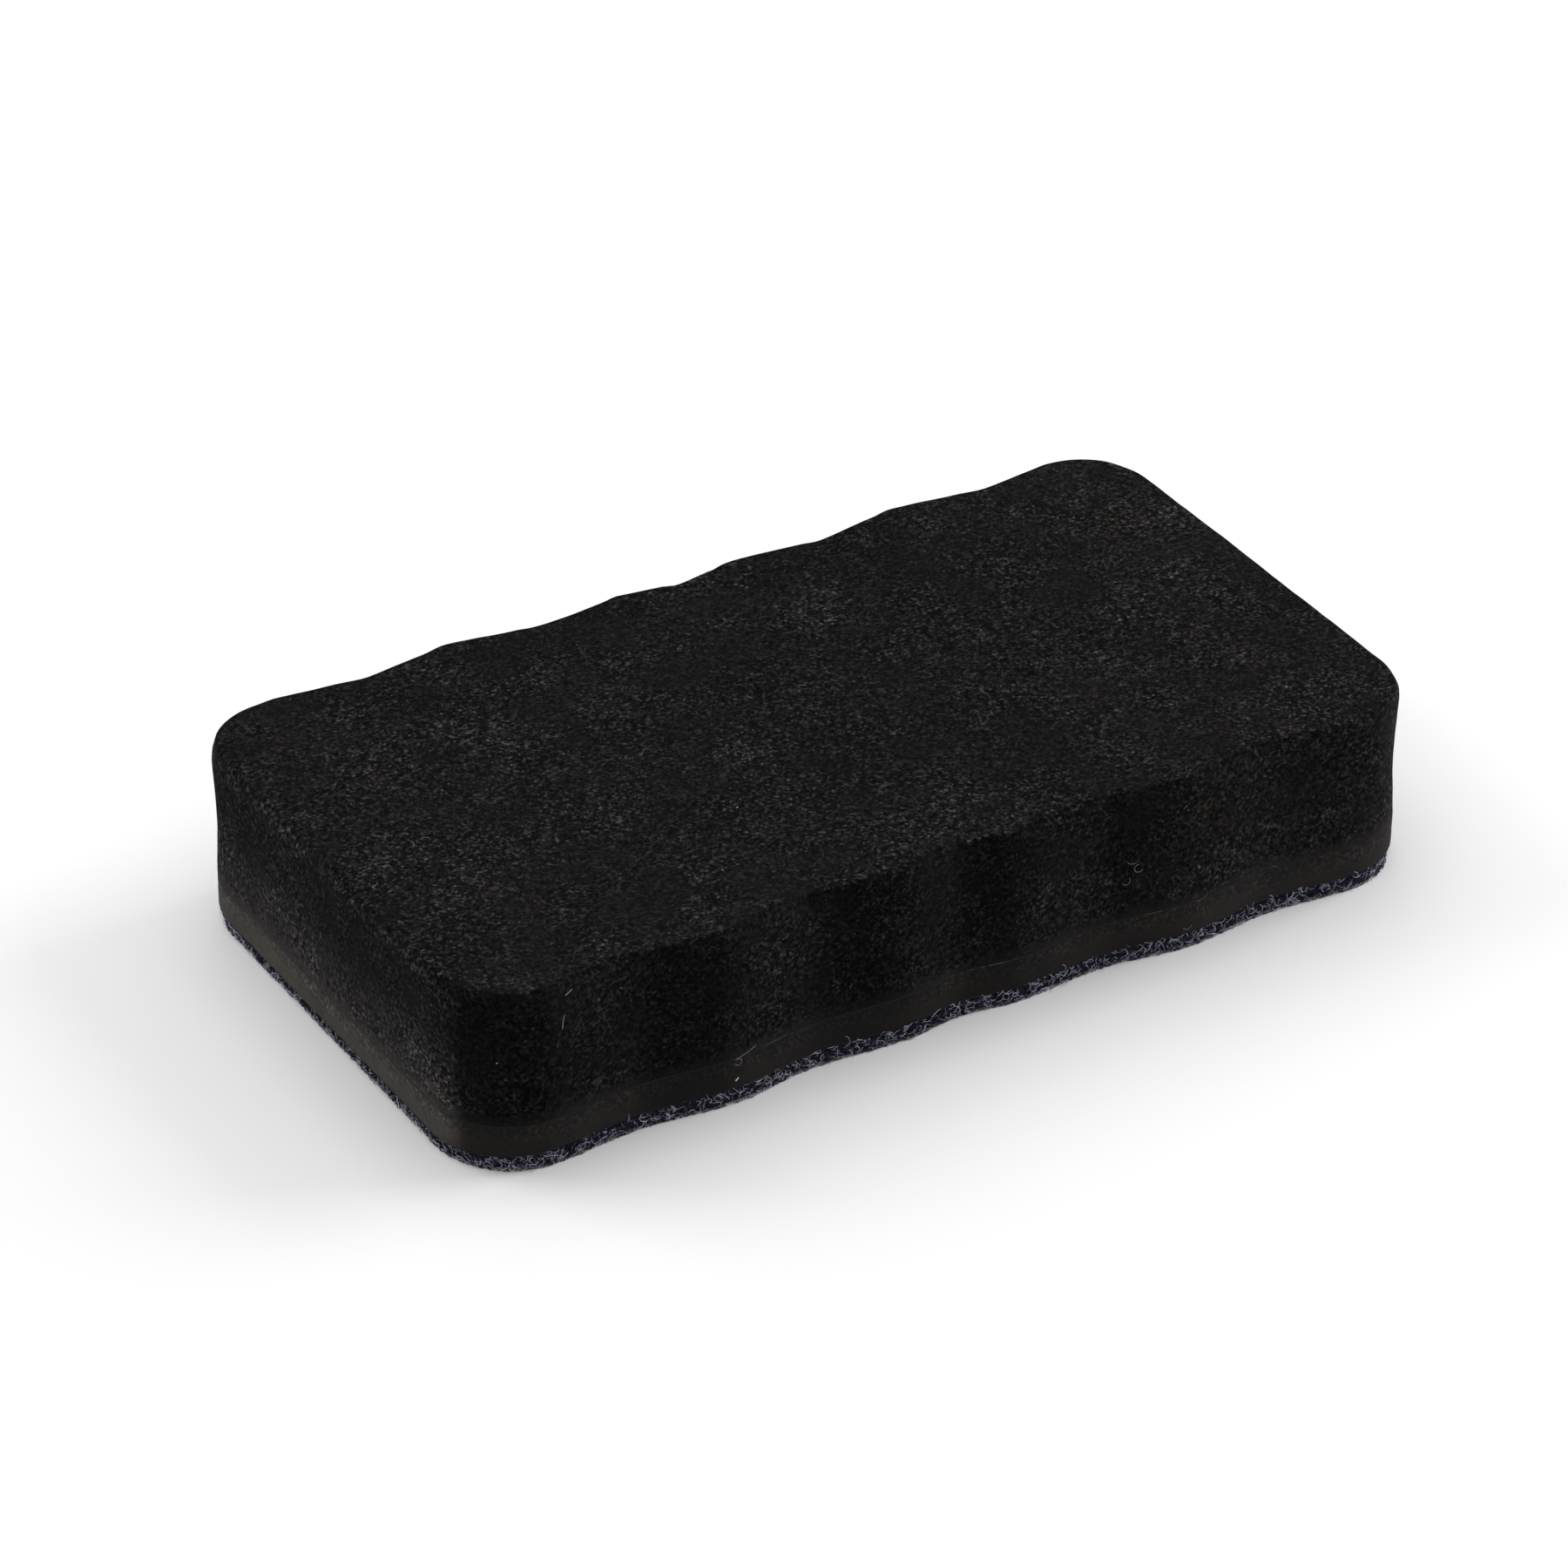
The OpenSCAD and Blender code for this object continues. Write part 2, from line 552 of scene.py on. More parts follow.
def felt_streaks(n, place):
    """Needled felt: streaks of pale and dark fibre that cross each other in every direction."""
    streaks = []
    for turn, tilt in ((20, 10), (80, -25), (140, 30), (-35, 60)):
        stretched = n.stretch(place, (0.16, 1.0, 1.0), (tilt, tilt * 0.7, turn))
        streaks.append(n.noise(stretched, 1500.0, 3.0, 0.6, 0.4))
    first = n.math("MAXIMUM", streaks[0], streaks[1])
    second = n.math("MAXIMUM", streaks[2], streaks[3])
    return n.math("MAXIMUM", first, second)


def felt_mat_material(settings):
    """The body of the felt, as it shows between its loose fibres."""
    material, n, shader, place = new_material("Felt Mat", 0.95, 0.04)
    streaks = felt_streaks(n, place)
    patch = n.spread(n.noise(place, 260.0, detail=4.0), 0.3, 0.7, 0.35, 1.0)
    middle = tuple(0.30 * a + 0.70 * b for a, b in zip(settings.light, settings.dark))
    # The wiping face is paler with chalk than the cut wall.
    chalky = n.spread(n.height(place), 0.25 * MM, 0.5 * MM, 1.0, 0.35)
    colour = n.mix(n.times(n.spread(streaks, 0.52, 0.74), patch, chalky), settings.dark, middle)
    paint(n, shader, colour, n.spread(streaks, 0.4, 0.8, 0.98, 0.86))
    add_bump(n, shader, streaks, 0.25 * MM)
    return material


def fibre_material(settings):
    """Single strands, each as pale as its own Shade says, a little blotched along its length."""
    material, n, shader, place = new_material("Felt Fibre", 0.80, 0.10)
    shade = n.add("ShaderNodeAttribute", attribute_name="Shade").outputs["Fac"]
    blotch = n.spread(n.noise(place, 2600.0, detail=2.0), 0.3, 0.7, 0.72, 1.2)
    pale = n.math("MULTIPLY", shade, blotch, clamp=True)
    colour = n.mix(pale, settings.dark, settings.light)
    paint(n, shader, colour, n.spread(blotch, 0.72, 1.2, 0.88, 0.70))
    return material


# Meshes.


def new_object(name, mesh, material):
    """Links a finished mesh to the scene, smooth, with its material."""
    mesh.name = name
    obj = bpy.data.objects.new(name, mesh)
    mesh.materials.append(material)
    bpy.context.scene.collection.objects.link(obj)
    return obj


def wall_profile(bottom, top, low_round, high_round, rows):
    """(height, inset) up a layer's wall: a rounded foot, even rows and a rounded top edge."""
    angles = [pi / 2 * i / ROUNDING_STEPS for i in range(ROUNDING_STEPS + 1)]
    quarter = [(1 - sin(angle), 1 - cos(angle)) for angle in angles]
    foot = [(bottom + low_round * rise, low_round * inset) for rise, inset in reversed(quarter)]
    head = [(top - high_round * fall, high_round * inset) for fall, inset in quarter]
    low, high = bottom + low_round, top - high_round
    middle = [(low + (high - low) * i / rows, 0.0) for i in range(1, rows)]
    return foot + middle + head


def layer_mesh(outline, profile, draw_in=None):
    """A closed slab cut to the outline. The profile gives its levels, and draw_in(x, y, z) adds inset."""
    bm = bmesh.new()
    bmesh.ops.create_grid(bm, x_segments=GRID_ALONG, y_segments=GRID_ACROSS, size=1.0)
    base = list(bm.faces)
    bmesh.ops.reverse_faces(bm, faces=base)
    raised = bmesh.ops.extrude_face_region(bm, geom=base, use_keep_orig=True)["geom"]
    lid = [item for item in raised if isinstance(item, bmesh.types.BMVert)]
    bmesh.ops.translate(bm, vec=(0, 0, 1), verts=lid)
    upright = [edge for edge in bm.edges if abs(edge.verts[0].co.z - edge.verts[1].co.z) > 0.5]
    last = len(profile) - 1
    bmesh.ops.subdivide_edges(bm, edges=upright, cuts=last - 1, use_grid_fill=True)
    # The slab is a unit square so far, and now every level is laid on the outline.
    for vert in bm.verts:
        height, inset = profile[round(vert.co.z * last)]
        u, v = vert.co.x, vert.co.y
        if draw_in:
            flat = outline.place(u, v)
            inset += draw_in(flat.x, flat.y, height)
        flat = outline.place(u, v, inset)
        vert.co = (flat.x, flat.y, height)
    bmesh.ops.recalc_face_normals(bm, faces=bm.faces)
    bm.normal_update()
    return bm


def carry_tone(bm, tone):
    """Stores tone(place, normal), the painted light and shade, on each vertex, and how much of a cut wall it
    is, for the material.
    """
    toned = bm.verts.layers.float.new("Tone")
    cut = bm.verts.layers.float.new("Cut")
    for vert in bm.verts:
        vert[toned] = tone(vert.co, vert.normal)
        vert[cut] = 1 - ease(vert.normal.z, 0.15, 0.75)


def ease(value, low, high):
    """0 below low, 1 above high, and a smooth rise between."""
    share = min(max((value - low) / (high - low), 0.0), 1.0)
    return share * share * (3 - 2 * share)


def blend(a, b, share):
    return a + (b - a) * share


def waist_bow(share):
    """How far the foam's wall draws in at a share of its height, from 0 to 1."""
    return sin(pi * min(share / 0.9, 1.0)) ** 1.3


def flank(normal):
    """1 on the flanks of the waves that face forwards round the rim, -1 on those that face back."""
    turn = normal.x if normal.y < 0 else -normal.x
    return min(max(turn / FLANK_SLOPE, -1.0), 1.0)


def along_painted_light(co):
    """How far along a place lies, for the painted light that grows along each side. It counts from opposite
    ends on the two sides.
    """
    return co.x if co.y < 0 else -co.x


def end_share(normal):
    """0 on the long sides and 1 on the ends."""
    return ease(abs(normal.x), 0.84, 0.97)


def roughen(bm, amount, size, seed, freedom):
    """Moves each vertex along its normal by smooth noise, as far as freedom(co) from 0 to 1 lets it."""
    bm.normal_update()
    offset = Vector((seed * 7.3, seed * 3.1, seed * 5.7))
    moves = []
    for vert in bm.verts:
        moves.append(vert.normal * (noise.noise(vert.co / size + offset) * amount * freedom(vert.co)))
    for vert, move in zip(bm.verts, moves):
        vert.co += move


def finish_mesh(bm):
    """Turns a bmesh into a mesh with smooth faces and its sharp edges marked."""
    for face in bm.faces:
        face.smooth = True
    for edge in bm.edges:
        edge.smooth = edge.calc_face_angle(0) < SHARP_ANGLE
    mesh = bpy.data.meshes.new("layer")
    bm.to_mesh(mesh)
    bm.free()
    return mesh


class Strands:
    """Thin fibres, drawn as one curve and made into a mesh with a shade and a map cell each."""

    SIDES = 4

    def __init__(self, name, points):
        self.curve = curve = bpy.data.curves.new(name, "CURVE")
        curve.dimensions = "3D"
        curve.fill_mode = "FULL"
        curve.bevel_depth = 1.0
        curve.bevel_resolution = 0
        curve.use_fill_caps = True
        self.name = name
        self.points = points
        self.shades = []

    def add(self, places, radius, shade):
        """Adds one strand through its places, in metres, thinner at both ends."""
        # The curve is drawn in millimetres, because points under 0.01 of a unit apart would be merged.
        spline = self.curve.splines.new("POLY")
        spline.points.add(self.points - 1)
        spline.points.foreach_set("co", [c for x, y, z in places for c in (x / MM, y / MM, z / MM, 1.0)])
        radii = [radius / MM] * self.points
        radii[0] = radii[-1] = radius / MM * 0.55
        spline.points.foreach_set("radius", radii)
        self.shades.append(shade)

    def curl(self, rim, start, height, heading, curl, length, out_at, high, radius, shade):
        """Adds a strand that curls over the wall from its start. out_at(s) is how far it stands off."""
        along, up, places = 0.0, height, []
        for i in range(self.points):
            flat = rim.at(start + along, out_at(i / (self.points - 1)))
            places.append((flat.x, flat.y, min(max(up, radius), high)))
            along += length / (self.points - 1) * cos(heading)
            up += length / (self.points - 1) * sin(heading)
            heading += curl / (self.points - 1)
        self.add(places, radius, shade)

    def to_object(self, material):
        holder = bpy.data.objects.new(self.name, self.curve)
        bpy.context.scene.collection.objects.link(holder)
        depsgraph = bpy.context.evaluated_depsgraph_get()
        mesh = bpy.data.meshes.new_from_object(holder.evaluated_get(depsgraph))
        bpy.data.objects.remove(holder)
        bpy.data.curves.remove(self.curve)
        mesh.transform(Matrix.Scale(MM, 4))
        strand, ring, side = self.number_vertices(mesh)
        shade = mesh.attributes.new("Shade", "FLOAT", "POINT")
        shade.data.foreach_set("value", np.array(self.shades, np.float32)[strand])
        self.lay_out_map(mesh, strand, ring, side)
        mesh.polygons.foreach_set("use_smooth", np.ones(len(mesh.polygons), bool))
        bm = bmesh.new()
        bm.from_mesh(mesh)
        bmesh.ops.remove_doubles(bm, verts=bm.verts, dist=WELD_DISTANCE)
        bm.to_mesh(mesh)
        bm.free()
        return new_object(self.name, mesh, material)

    def number_vertices(self, mesh):
        """Each vertex's strand, ring and side. The caps come first, the last strand's before the others'."""
        count, caps, tube = len(self.shades), 2 * self.SIDES, self.points * self.SIDES
        if len(mesh.vertices) != count * (caps + tube):
            raise RuntimeError(f"{self.name}: unexpected number of vertices")
        capped, tubed = np.repeat(np.arange(count)[::-1], caps), np.repeat(np.arange(count), tube)
        strand = np.concatenate([capped, tubed])
        cap_ring = np.repeat([self.points - 1, 0], self.SIDES)
        ring = np.concatenate([np.tile(cap_ring, count), np.tile(np.arange(tube) // self.SIDES, count)])
        return strand, ring, np.arange(len(mesh.vertices)) % self.SIDES

    def lay_out_map(self, mesh, strand, ring, side):
        """Gives each strand its own square on the piece's map, so that its shade stays its own."""
        cells = ceil(sqrt(len(self.shades)))
        vertex = np.empty(len(mesh.loops), np.int32)
        mesh.loops.foreach_get("vertex_index", vertex)
        strand, ring, side = strand[vertex], ring[vertex], side[vertex]
        across = 0.15 + 0.66 * ring / (self.points - 1) + 0.02 * side
        up = np.array([0.2, 0.6, 0.8, 0.4])[side]
        uv = np.stack([(strand % cells + across) / cells, (strand // cells + up) / cells], 1)
        layer = mesh.uv_layers.new(name="OFBake")
        layer.uv.foreach_set("vector", uv.astype(np.float32).ravel())


def fibre_shade(rng, pale_share):
    """A strand's shade: dark or pale, and few lie between."""
    if rng.random() < pale_share:
        return rng.triangular(0.20, 1.0, 0.75)
    return rng.triangular(0.0, 0.10, 0.01)


# Operators.


class ERASER_OT_foam_grip(Operator):
    """Build the soft foam block that the fingers hold"""

    bl_idname = "eraser.foam_grip"
    bl_label = "Foam Grip"
    bl_options = {"UNDO"}

    def execute(self, context):
        settings = context.scene.eraser
        foam = settings.foam
        bottom, top = node_bottom("foam_block"), node_top("foam_block")

        def draw_in(x, y, z):
            """The walls draw in half way up, more in some places than in others."""
            bow = waist_bow((z - bottom) / (top - bottom))
            return foam.waist * bow * (0.8 + 0.5 * noise.noise(Vector((x, y, 0)) / (22 * MM)))

        def soften(x, y, z):
            """The top edge is rounder on one flank of each wave and at the ends than in the hollows."""
            reach = 3 * foam.edge_soften
            depth = ease(z, top - reach, top)
            end = ease(abs(x), outline.corner_x + 0.5 * outline.corner_r, outline.half_length)
            slope = outline.reach(abs(x) + 0.5 * MM) - outline.reach(abs(x) - 0.5 * MM)
            rise = copysign(slope, slope * x * y) / (FLANK_SLOPE * MM)
            return foam.edge_soften * depth * depth * max(ease(rise, -0.9, 1.0), end)

        def tone(co, normal):
            """Painted light and shade. The cut walls differ from the top: paler on one flank of each wave,
            towards one end of each side, low down and where they turn to the ends. The ends are paler still,
            most at the foot and at the top edge, and the top is paler towards the ends.
            """
            share = (co.z - bottom) / (top - bottom)
            along = ease(along_painted_light(co), 8 * MM, 32 * MM)
            lean = blend(0.33, 0.10, along) * flank(normal)
            side = blend(1.22, 1.72, along) * (1 + lean) * (1 + 0.18 * (1 - share) ** 2)
            side *= 1 + 0.30 * ease(1 - share, 0.91, 1.0)
            side *= 1 + 0.45 * along * ease(abs(normal.x), 0.15, 0.60)
            end = 1.5 + foam.end_tone * ease(1 - share, 0.38, 0.98) + 1.5 * ease(share, 0.84, 0.97)
            end += 0.8 * ease(1 - share, 0.88, 1.0)
            wall = blend(side, end, end_share(normal))
            top_tone = 1 + 0.15 * ease(abs(co.x), 20 * MM, 50 * MM)
            return blend(wall, top_tone, ease(normal.z, 0.15, 0.75))

        def above_seam(co):
            return min((co.z - bottom) / (1.5 * MM), 1.0)

        outline = Outline(settings.outline)
        profile = wall_profile(bottom, top, foam.seam_round, foam.edge_round, rows=22)
        bm = layer_mesh(outline, profile, lambda x, y, z: draw_in(x, y, z) + soften(x, y, z))
        carry_tone(bm, tone)
        roughen(bm, foam.waver, 14 * MM, 1, above_seam)
        roughen(bm, foam.waver * 0.35, 2.2 * MM, 2, above_seam)
        obj = new_object("foam_grip", finish_mesh(bm), foam_material(foam))
        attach(obj, BODY)
        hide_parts("foam_block")
        return {"FINISHED"}


class ERASER_OT_backing_layer(Operator):
    """Build the dense sheet between the foam and the felt"""

    bl_idname = "eraser.backing_layer"
    bl_label = "Backing Layer"
    bl_options = {"UNDO"}

    def execute(self, context):
        settings = context.scene.eraser
        foam = settings.foam
        bottom, top = node_bottom("backing_sheet"), node_top("backing_sheet")

        def tone(co, normal):
            """Painted light and shade: paler at the ends and low down, paler along each side towards its
            ends, and darker on one flank of each wave.
            """
            along = ease(along_painted_light(co), 4 * MM, 32 * MM)
            side = blend(0.74, 1.22, along) * (1 + blend(0.26, 0.10, along) * flank(normal))
            side *= 1 + 0.45 * ease(-along_painted_light(co), 32 * MM, 44 * MM)
            end = 1 + foam.backing_end_tone
            foot = 1.12 - 0.30 * ease(co.z, bottom + 0.45 * (top - bottom), top)
            return blend(side, end, end_share(normal)) * foot

        def on_wall(co):
            return 1.0 if bottom < co.z < top else 0.0

        profile = wall_profile(bottom, top, foam.seam_round, foam.seam_round, rows=8)
        bm = layer_mesh(Outline(settings.outline), profile)
        carry_tone(bm, tone)
        roughen(bm, foam.waver * 0.5, 9 * MM, 3, on_wall)
        roughen(bm, foam.waver * 0.25, 1.6 * MM, 4, on_wall)
        obj = new_object("backing_layer", finish_mesh(bm), backing_material(foam))
        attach(obj, BODY)
        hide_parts("backing_sheet")
        return {"FINISHED"}


class ERASER_OT_glue_films(Operator):
    """Finish the two films of glue between the layers"""

    bl_idname = "eraser.glue_films"
    bl_label = "Glue Films"
    bl_options = {"UNDO"}

    def execute(self, context):
        material = glue_material(context.scene.eraser.foam)
        for node in ("felt_glue", "foam_glue"):
            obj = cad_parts[node]
            for slot in obj.material_slots:
                slot.material = material
        return {"FINISHED"}


def end_inset(outline, felt, x):
    """The felt stops short towards each end."""
    return felt.end_inset * ease(abs(x), outline.corner_x, outline.half_length)


def make_mat(outline, felt):
    bottom, top = felt.mat_lift, node_top("felt_pad")
    profile = wall_profile(bottom, top, 0.25 * MM, 0.05 * MM, rows=5)

    def draw_in(x, y, z):
        return felt.mat_inset + end_inset(outline, felt, x)

    def below(co):
        return min((top - co.z) / (0.4 * MM), 1.0)

    bm = layer_mesh(outline, profile, draw_in)
    roughen(bm, felt.lumps, 1.1 * MM, 5, below)
    roughen(bm, felt.lumps * 0.7, 0.5 * MM, 6, below)
    return new_object("felt_mat", finish_mesh(bm), felt_mat_material(felt))


def edge_fibres(outline, felt, material):
    """Curly strands that lie on the wall, across each other, in pieces round the rim."""
    rim, rng = Rim(outline), random.Random(felt.seed)
    top, made = node_top("felt_pad"), []
    for part in range(FIBRE_PIECES):
        strands = Strands(f"felt_edge_fibres_{part + 1}", FIBRE_POINTS)
        for _ in range(felt.edge_count // FIBRE_PIECES):
            start = rim.length * (part + rng.random()) / FIBRE_PIECES
            shade = fibre_shade(rng, 0.25)
            # Pale strands lie outermost, over the dark ones.
            depth = rng.uniform(0.10, 0.26) * MM - shade * 0.10 * MM
            depth += end_inset(outline, felt, rim.at(start).x)
            arch = rng.triangular(0, 0.16 * MM, 0.02 * MM)
            radius = felt.fibre_d / 2 * rng.uniform(0.6, 1.25)
            height = rng.uniform(0.05 * MM, top)
            heading = rng.choice((0, pi)) + rng.gauss(0, 0.75)
            curl = rng.gauss(0, 2.4)
            length = rng.triangular(0.3 * MM, 1.6 * MM, 0.7 * MM)
            high = top + rng.triangular(0, 0.25, 0.02) * MM

            def out(share):
                return arch * 4 * share * (1 - share) - depth

            strands.curl(rim, start, height, heading, curl, length, out, high, radius, shade)
        made.append(strands.to_object(material))
    return made


def face_fibres(outline, felt, material):
    """Strands that lie on the wiping face in every direction, in pieces along it."""
    rng, made = random.Random(felt.seed + 1), []
    for part in range(FIBRE_PIECES):
        strands = Strands(f"felt_face_fibres_{part + 1}", FIBRE_POINTS)
        while len(strands.shades) < felt.face_count // FIBRE_PIECES:
            u = 2 * (part + rng.random()) / FIBRE_PIECES - 1
            middle = outline.place(u, rng.uniform(-1, 1), 0.5 * MM)
            heading = rng.uniform(0, pi)
            length = rng.triangular(0.9 * MM, 3.4 * MM, 1.6 * MM)
            bend = rng.uniform(-0.45, 0.45)
            depth = rng.uniform(0.05, 0.17) * MM
            radius = felt.fibre_d / 2 * rng.uniform(0.7, 1.5)
            shade = fibre_shade(rng, 0.62) * 0.85
            places = []
            for i in range(FIBRE_POINTS):
                s = i / (FIBRE_POINTS - 1) - 0.5
                hump = 1 - 4 * s * s
                x = middle.x + length * (s * cos(heading) - bend * hump * sin(heading))
                y = middle.y + length * (s * sin(heading) + bend * hump * cos(heading))
                places.append((x, y, max(depth + 0.10 * MM * (1 - hump), radius)))
            if all_inside(outline, felt, places):
                strands.add(places, radius, shade)
        made.append(strands.to_object(material))
    return made


def all_inside(outline, felt, places):
    """Whether every place of a strand lies inside the pad's wall."""
    insets = [end_inset(outline, felt, x) + 0.15 * MM for x, y, z in places]
    return all(outline.holds(x, y, inset) for (x, y, z), inset in zip(places, insets))


# Loops that rise over the backing: x on the front wall in millimetres, and their lean in degrees.
LOOPS = ((-13.0, 70), (12.3, 60), (21.9, 115), (36.8, 80), (-38.0, 75), (-3.5, 50), (47.0, 100))


def stray_fibres(outline, felt, material):
    """Short hairs that stand a little off the wall, and a few loops that rise over the backing."""
    rim, rng = Rim(outline), random.Random(felt.seed + 2)
    top = node_top("felt_pad")
    strands = Strands("felt_stray_fibres", STRAY_POINTS)
    for _ in range(felt.stray_count):
        start = rim.length * rng.random()
        inset = end_inset(outline, felt, rim.at(start).x)
        stand = rng.triangular(0.04 * MM, 0.40 * MM, 0.10 * MM)
        radius = felt.fibre_d / 2 * rng.uniform(0.35, 0.6)
        height = rng.uniform(0.1 * MM, top)
        heading = rng.uniform(-pi, pi)
        curl = rng.uniform(-1, 1) * rng.uniform(0.8, 4.0)
        length = rng.triangular(0.5 * MM, 1.9 * MM, 0.8 * MM)
        shade = rng.uniform(0.35, 1.0)

        def out(share):
            return stand * sin(pi * min(0.75 * share + 0.05, 1)) - inset

        strands.curl(rim, start, height, heading, curl, length, out, top + 0.45 * MM, radius, shade)
    for x, lean in LOOPS:
        start = rim.nearest(x * MM, -outline.half_width)
        heading, curl = radians(lean), rng.uniform(-2.6, 2.6)
        length, shade = rng.uniform(1.0, 1.5) * MM, rng.uniform(0.5, 0.8)
        height, high = top - 0.35 * MM, top + 0.9 * MM
        radius = 0.032 * MM
        strands.curl(rim, start, height, heading, curl, length, lambda s: 0.05 * MM, high, radius, shade)
    return strands.to_object(material)


class ERASER_OT_felt_pad(Operator):
    """Build the felt's mat, with the loose fibres of its wall and of its wiping face"""

    bl_idname = "eraser.felt_pad"
    bl_label = "Felt Pad"
    bl_options = {"UNDO"}

    def execute(self, context):
        settings = context.scene.eraser
        felt = settings.felt
        outline = Outline(settings.outline)
        mat = make_mat(outline, felt)
        material = fibre_material(felt)
        fibres = edge_fibres(outline, felt, material)
        fibres += face_fibres(outline, felt, material)
        fibres.append(stray_fibres(outline, felt, material))
        for obj in (mat, *fibres):
            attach(obj, BODY)
        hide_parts("felt_pad")
        return {"FINISHED"}


def clear_of_wall(foam, z):
    """How far out a hair lies so that it touches the drawn-in wall."""
    bottom, top = node_bottom("foam_block"), node_top("foam_block")
    share = (z - bottom) / (top - bottom)
    proud = 0.02 * MM
    if share < 0:
        return proud
    return proud - 0.8 * foam.waist * waist_bow(share)


class ERASER_OT_lint(Operator):
    """Lay the few pale hairs and specks that cling to the foam and the backing"""

    bl_idname = "eraser.lint"
    bl_label = "Lint"
    bl_options = {"UNDO"}

    # On the front wall: x and z in millimetres at the start, heading, curl, length, diameter and shade.
    HAIRS = (
        (-44.7, 19.0, 18, 20, 0.9, 0.09, 0.55), (-45.0, 16.9, -108, 18, 1.7, 0.065, 0.75),
        (-45.5, 15.3, -98, -6, 2.1, 0.045, 0.45), (-26.5, 4.7, -60, 300, 1.9, 0.055, 0.50),
        (-26.2, 5.2, 12, 12, 2.6, 0.055, 0.50), (-22.9, 5.4, 4, -8, 2.8, 0.035, 0.25),
        (20.5, 11.9, -120, -130, 1.6, 0.045, 0.35), (20.2, 11.3, -170, 250, 2.0, 0.055, 0.50),
        (19.4, 9.9, -60, -200, 1.5, 0.045, 0.40), (25.4, 2.6, -60, 140, 1.3, 0.045, 0.40),
        (25.0, 16.7, 35, 10, 0.6, 0.05, 0.35), (27.0, 5.3, -8, 60, 1.5, 0.04, 0.26),
        (30.2, 5.9, 30, -60, 1.2, 0.035, 0.25), (36.4, 5.5, 25, -90, 1.1, 0.04, 0.26),
        (38.6, 9.6, 20, -80, 1.5, 0.03, 0.16), (40.6, 15.4, -15, 90, 1.2, 0.03, 0.18),
        (44.3, 9.9, 25, -70, 1.3, 0.03, 0.16),
    )
    # On the front wall: x, z and size in millimetres, and shade.
    SPECKS = (
        (-26.4, 2.7, 0.46, 1.00), (-53.2, 12.6, 0.20, 0.80),
        (25.6, 16.4, 0.15, 0.60), (-33.9, 8.8, 0.13, 0.35),
        (3.4, 12.9, 0.13, 0.35), (-12.4, 14.3, 0.13, 0.35),
    )
    SPECK_HEADING = 0.7
    # On the top: x and y in millimetres, heading, curl, length, diameter and shade.
    TOP_HAIRS = (
        (-46.0, -1.6, 20, 120, 1.3, 0.05, 0.35), (-44.6, -0.9, 40, -150, 1.2, 0.045, 0.32),
        (-33.6, -8.2, 60, 20, 1.1, 0.045, 0.30), (-52.7, -6.0, 25, 15, 1.1, 0.05, 0.35),
        (-15.6, -11.7, 10, 20, 0.3, 0.11, 0.60), (-31.9, 15.8, 75, 20, 0.35, 0.09, 0.50),
        (6.0, 8.5, 130, 60, 0.9, 0.04, 0.25), (27.0, -3.0, -20, -90, 1.0, 0.04, 0.25),
        (38.5, 14.0, 50, 140, 0.9, 0.04, 0.25),
    )

    def execute(self, context):
        settings = context.scene.eraser
        outline = Outline(settings.outline)
        rim, top = Rim(outline), node_top("foam_block")
        strands = Strands("foam_lint", LINT_POINTS)

        def on_front(x, z, heading, curl, length, out, radius, shade):
            start = rim.nearest(x * MM, -outline.half_width)
            strands.curl(
                rim, start, z * MM, heading, curl, length * MM, lambda share: out, top, radius, shade
            )

        for x, z, heading, curl, length, thick, shade in self.HAIRS:
            out = clear_of_wall(settings.foam, z * MM)
            turn, bend = radians(heading), radians(curl)
            on_front(x, z, turn, bend, length, out, thick * MM / 2, shade)
        for x, z, size, shade in self.SPECKS:
            on_front(x, z, self.SPECK_HEADING, 0.0, size, 0.0, size * MM / 4, shade)
        for x, y, heading, curl, length, thick, shade in self.TOP_HAIRS:
            place, turn, places = Vector((x * MM, y * MM, top)), radians(heading), []
            step = length * MM / (LINT_POINTS - 1)
            for _ in range(LINT_POINTS):
                places.append(tuple(place))
                place = place + Vector((cos(turn), sin(turn), 0)) * step
                turn += radians(curl) / (LINT_POINTS - 1)
            strands.add(places, thick * MM / 2, shade)
        obj = strands.to_object(fibre_material(settings.felt))
        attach(obj, BODY)
        return {"FINISHED"}


def add_floor():
    bm = bmesh.new()
    bmesh.ops.create_circle(bm, cap_ends=True, segments=96, radius=3.0)
    mesh = bpy.data.meshes.new("floor")
    bm.to_mesh(mesh)
    bm.free()
    material, n, shader = plain_material("White Table", 0.9, 0.1)
    seen = n.add("ShaderNodeLightPath").outputs["Is Camera Ray"]
    n.join(n.mix(seen, (0.50, 0.50, 0.50), (1.0, 1.0, 1.0)), shader.inputs["Base Color"])
    new_object("floor", mesh, material)


def add_lamp(name, place, size, level):
    """A square lamp aimed at the eraser, that lights the table there to the level."""
    data = bpy.data.lights.new(name, "AREA")
    data.shape = "SQUARE"
    data.size = size
    distance = Vector(place).length
    data.energy = level * (pi * distance) ** 2 * distance / place[2]
    lamp = bpy.data.objects.new(name, data)
    lamp.location = place
    lamp.rotation_euler = Vector(place).to_track_quat("Z", "Y").to_euler()
    bpy.context.scene.collection.objects.link(lamp)


def add_sky(scene, strength):
    world = bpy.data.worlds.new("Sky")
    world.use_nodes = True
    scene.world = world
    n = Nodes(world.node_tree)
    background = world.node_tree.nodes["Background"]
    background.inputs["Color"].default_value = (1, 1, 1, 1)
    seen = n.add("ShaderNodeLightPath").outputs["Is Camera Ray"]
    n.join(n.spread(seen, 0.0, 1.0, strength, 1.0), background.inputs["Strength"])


